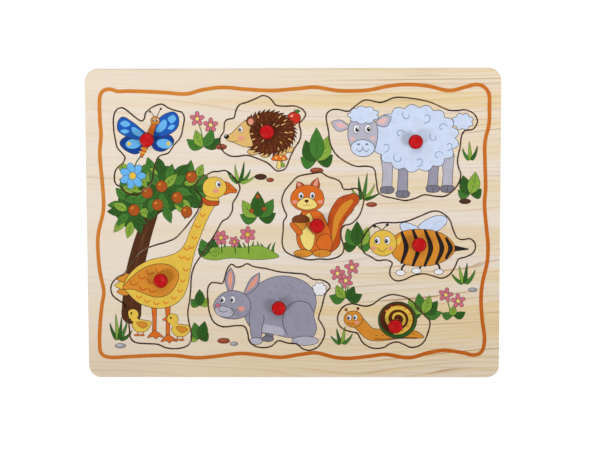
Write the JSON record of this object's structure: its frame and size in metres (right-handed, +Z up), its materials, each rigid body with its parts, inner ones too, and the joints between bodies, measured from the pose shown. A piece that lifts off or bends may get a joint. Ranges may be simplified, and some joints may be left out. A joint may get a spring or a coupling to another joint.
{
  "type": "peg puzzle",
  "caption": "Flat wooden peg puzzle board with a wavy printed border and shaped lift-out pieces, each carried by a small round plastic knob.",
  "frame": {"origin": "under the middle of the board, on its flat underside", "axes": "+X along the board's length, +Y towards the top edge of the picture, +Z up out of the picture, towards the knobs"},
  "size_m": [0.4, 0.3, 0.018],
  "materials": {
    "printed_wood": "satin lacquered pale pine ply, printed on its upper face",
    "backing_wood": "plain sanded ply",
    "red_plastic": "smooth moulded plastic"
  },
  "bodies": {
    "board": {"backing_board": "backing_wood", "frame_board": "printed_wood"},
    "butterfly": {"butterfly_piece": "printed_wood", "butterfly_knob": "red_plastic", "butterfly_pin": "red_plastic"},
    "hedgehog": {"hedgehog_piece": "printed_wood", "hedgehog_knob": "red_plastic", "hedgehog_pin": "red_plastic"},
    "sheep": {"sheep_piece": "printed_wood", "sheep_knob": "red_plastic", "sheep_pin": "red_plastic"},
    "squirrel": {"squirrel_piece": "printed_wood", "squirrel_knob": "red_plastic", "squirrel_pin": "red_plastic"},
    "goose": {"goose_piece": "printed_wood", "goose_knob": "red_plastic", "goose_pin": "red_plastic"},
    "rabbit": {"rabbit_piece": "printed_wood", "rabbit_knob": "red_plastic", "rabbit_pin": "red_plastic"},
    "bee": {"bee_piece": "printed_wood", "bee_knob": "red_plastic", "bee_pin": "red_plastic"},
    "snail": {"snail_piece": "printed_wood", "snail_knob": "red_plastic", "snail_pin": "red_plastic"}
  },
  "joints": [
    {"name": "butterfly_lift", "type": "slide", "parent": "board", "child": "butterfly", "axis": [0, 0, 1], "range_m": [0, 0.06]},
    {"name": "hedgehog_lift", "type": "slide", "parent": "board", "child": "hedgehog", "axis": [0, 0, 1], "range_m": [0, 0.06]},
    {"name": "sheep_lift", "type": "slide", "parent": "board", "child": "sheep", "axis": [0, 0, 1], "range_m": [0, 0.06]},
    {"name": "squirrel_lift", "type": "slide", "parent": "board", "child": "squirrel", "axis": [0, 0, 1], "range_m": [0, 0.06]},
    {"name": "goose_lift", "type": "slide", "parent": "board", "child": "goose", "axis": [0, 0, 1], "range_m": [0, 0.06]},
    {"name": "rabbit_lift", "type": "slide", "parent": "board", "child": "rabbit", "axis": [0, 0, 1], "range_m": [0, 0.06]},
    {"name": "bee_lift", "type": "slide", "parent": "board", "child": "bee", "axis": [0, 0, 1], "range_m": [0, 0.06]},
    {"name": "snail_lift", "type": "slide", "parent": "board", "child": "snail", "axis": [0, 0, 1], "range_m": [0, 0.06]}
  ]
}
